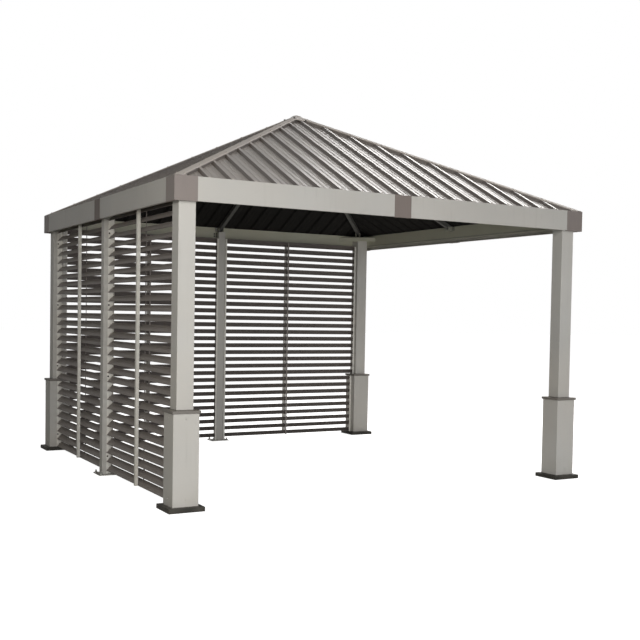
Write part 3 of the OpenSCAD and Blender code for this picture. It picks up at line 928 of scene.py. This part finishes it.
bracketShape = {
    "heights": (2.178, 2.226),
    "postSheet": 0.0025,
    "beamSheet": 0.0027,
    "postLeg": 0.044,
    "beamLeg": 0.030,
    "boltInset": 0.012,  # from the bracket's ends
    "beamBolt": 0.018,
    "postBolt": 0.029,
    "edge": 0.0006,
}


def buildPostBrackets():  # angles that tie the middle posts to their beams
    build = bmesh.new()
    bolts = bmesh.new()
    shape = bracketShape
    low, high = shape["heights"]
    postFace, back = midPostHalf + hairGap, beamFace + hairGap
    fold, front = postFace + shape["postSheet"], beamFace + shape["beamSheet"]
    for side in walledSides:
        for way in (-1, 1):
            place = onSide(side) @ sideways(way)
            bar(build, place, (postFace, back, low), (fold, beamFace + shape["postLeg"], high))
            bar(build, place, (fold, back, low), (postFace + shape["beamLeg"], front, high))
            for height in (low + shape["boltInset"], high - shape["boltInset"]):
                onBeam = (postFace + shape["beamBolt"], front, height)
                fasten(bolts, place, "smallBolt", onBeam, (0, 1, 0))
                onPost = (fold, beamFace + shape["postBolt"], height)
                fasten(bolts, place, "smallBolt", onPost, (1, 0, 0))
    finishPiece("post_brackets", build, "trimCoat", None, shape["edge"])
    finishPiece("bracket_bolts", bolts, "screwCoat")


hubShape = {
    "plateHalf": 0.094,
    "plate": ((0.002, 0.0058), (0.054, 0.0062)),  # rim's slope: in from the edge, depth
    "boss": ((0.036, 0.0110), (0.030, 0.0130), (0, 0.0135)),  # radius, depth
    "plateSheet": 0.0042,
    "bolts": 8,
    "boltRing": 0.066,
    "boltSeat": 0.0061,
}


def buildHubPlate():
    build = bmesh.new()
    bolts = bmesh.new()
    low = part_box("rafter_hub")[0].z
    wide, ring = hubShape["plateHalf"], hubShape["boltRing"]
    under = Matrix.Translation((0, 0, low)) @ Matrix.Rotation(math.pi, 4, "X")
    profile = [(0, hairGap), (wide, hairGap), (wide, hubShape["plateSheet"])]
    profile += [(wide - inset, depth) for inset, depth in hubShape["plate"]]
    turned(build, under, profile + list(hubShape["boss"]), 64)
    for i in range(hubShape["bolts"]):
        turn = 2 * math.pi * (i + 0.5) / hubShape["bolts"]
        at = (ring * math.cos(turn), ring * math.sin(turn), hubShape["boltSeat"])
        fasten(bolts, under, "bolt", at, (0, 0, 1))
    finishPiece("hub_plate", build, "rafterCoat")
    finishPiece("hub_bolts", bolts, "zincCoat")


footShape = {
    "plateTop": 0.008,
    "anchorSpread": (0.076, 0.055),
    "skirtScrews": (0.085, 0.640),  # heights
    "sealBead": 0.004,
}


def buildFeet():  # anchors on the middle posts' feet, screws and sealing beads on the skirts
    anchors = bmesh.new()
    along, through = footShape["anchorSpread"]
    for side in walledSides:
        for x in (-along, along):
            for y in (-through, through):
                at = (x, midPostHalf - postOuter + y, footShape["plateTop"])
                fasten(anchors, onSide(side), "anchor", at, (0, 0, 1))
    finishPiece("anchor_bolts", anchors, "zincCoat")
    screws = bmesh.new()
    seals = bmesh.new()
    bead = footShape["sealBead"]
    skirtHalf, postHalf = (skirtOuter - skirtInner) / 2, (postOuter - postInner) / 2
    for name in corners:
        for height in footShape["skirtScrews"]:
            fasten(screws, cornerRoom(name), "screw", (skirtOuter, postMiddle, height), (1, 0, 0))
            fasten(screws, cornerRoom(name), "screw", (postMiddle, skirtOuter, height), (0, 1, 0))
        for half, level in ((skirtHalf, baseTop), (postHalf, skirtCapTop)):
            near = half + hairGap
            ring = [(near, hairGap), (half + bead, hairGap), (half + bead * 0.4, bead * 0.5)]
            ring += [(near, bead), (near, hairGap)]
            foot = atCorner(name) @ Matrix.Translation((0, 0, level)) @ quarterTurned
            turned(seals, foot, [(r * math.sqrt(2), z) for r, z in ring], 4)
    finishPiece("skirt_screws", screws, "postCoat")
    finishPiece("skirt_seals", seals, "sealCoat")


coverRivets = {
    "row": 0.014,  # in from the fascia's face
    "corner": (0.050, 0.135),  # along the fascia from its corner
    "joint": 0.045,  # either side of a joint
}


def buildCoverRivets():
    build = bmesh.new()
    row = halfPlan - coverRivets["row"]
    for name in corners:
        for along in coverRivets["corner"]:
            for at in ((halfPlan - along, row, eaveZ), (row, halfPlan - along, eaveZ)):
                fasten(build, cornerRoom(name), "rivet", at, (0, 0, -1))
    for side in sideTurns:
        for x in (-coverRivets["joint"], coverRivets["joint"]):
            fasten(build, onSide(side), "rivet", (x, -row, eaveZ), (0, 0, -1))
    finishPiece("cover_rivets", build, "coverCoat")


buildBeamTrims()
buildPlateBolts()
buildShoeBolts()
buildPostBrackets()
buildHubPlate()
buildFeet()
buildCoverRivets()
print("frame details built")

# floor, light and backdrop

studio = {
    "skyFill": 0.07,  # strength of the white room on the object itself
    "glossFill": 0.62,  # strength of the white room in the coats' sheen
    "floorColour": (0.9, 0.9, 0.9, 1),
    "floorBounce": (0.7, 0.69, 0.65, 1),  # what the floor throws back on the object
    "floorGlow": 0.95,  # keeps the open floor white, less bright under the roof
}

# place, what it is aimed at, size in metres, watts, tint
lamps = {
    "keyLamp": ((-2.8, -8.6, 3.4), (-0.9, -1.8, 1.3), 2.4, 105, (1, 1, 1)),
    "lowLamp": ((-0.5, -9.5, 1.3), (0.3, 0.0, 1.5), 3.0, 222, (1, 1, 1)),
    "sideLamp": ((-4.6, -5.2, 2.6), (-1.8, -0.6, 1.3), 1.6, 82, (1, 0.96, 0.87)),
    "sheenLamp": ((5.8, 3.2, 6.2), (0.9, -1.2, 2.5), 5.0, 560, (1, 0.98, 0.96)),
}


def aimed(place, aim):
    turn = (Vector(aim) - Vector(place)).to_track_quat("-Z", "Y")
    return Matrix.Translation(place) @ turn.to_matrix().to_4x4()


def addLamp(name, place, aim, size, power, tint):
    data = bpy.data.lights.new(name, "AREA")
    data.shape = "SQUARE"
    data.size = size
    data.energy = power
    data.color = tint
    lamp = bpy.data.objects.new(name, data)
    lamp.matrix_world = aimed(place, aim)
    lamp.visible_camera = False
    scene.collection.objects.link(lamp)


def buildWorld():
    world = bpy.data.worlds.new("studioWhite")
    scene.world = world
    world.use_nodes = True
    tree = world.node_tree
    sky = tree.nodes["Background"]
    sky.inputs["Color"].default_value = (1, 1, 1, 1)
    seen = addNode(tree, "LightPath").outputs
    direct = calc(tree, "MAXIMUM", seen["Is Camera Ray"], seen["Is Transmission Ray"])
    sheen = calc(tree, "MULTIPLY", seen["Is Glossy Ray"], studio["glossFill"])
    strength = calc(tree, "MAXIMUM", calc(tree, "MAXIMUM", direct, sheen), studio["skyFill"])
    tree.links.new(strength, sky.inputs["Strength"])


def buildFloor():
    mesh = bpy.data.meshes.new("studioFloor")
    build = bmesh.new()
    bmesh.ops.create_grid(build, x_segments=1, y_segments=1, size=60)
    build.to_mesh(mesh)
    build.free()
    floor = bpy.data.objects.new("studioFloor", mesh)
    scene.collection.objects.link(floor)
    material = bpy.data.materials.new("paleFloor")
    material.use_nodes = True
    tree = material.node_tree
    shader = tree.nodes["Principled BSDF"]
    seen = addNode(tree, "LightPath").outputs["Is Camera Ray"]
    shown = mixColour(tree, seen, studio["floorBounce"], studio["floorColour"])
    tree.links.new(shown, shader.inputs["Base Color"])
    shader.inputs["Emission Color"].default_value = (1, 1, 1, 1)
    glow = calc(tree, "MULTIPLY", seen, studio["floorGlow"])
    tree.links.new(glow, shader.inputs["Emission Strength"])
    shader.inputs["Roughness"].default_value = 0.9
    shader.inputs["Specular IOR Level"].default_value = 0.1
    mesh.materials.append(material)


buildWorld()
buildFloor()
for name, settings in lamps.items():
    addLamp(name, *settings)
print("studio lit")
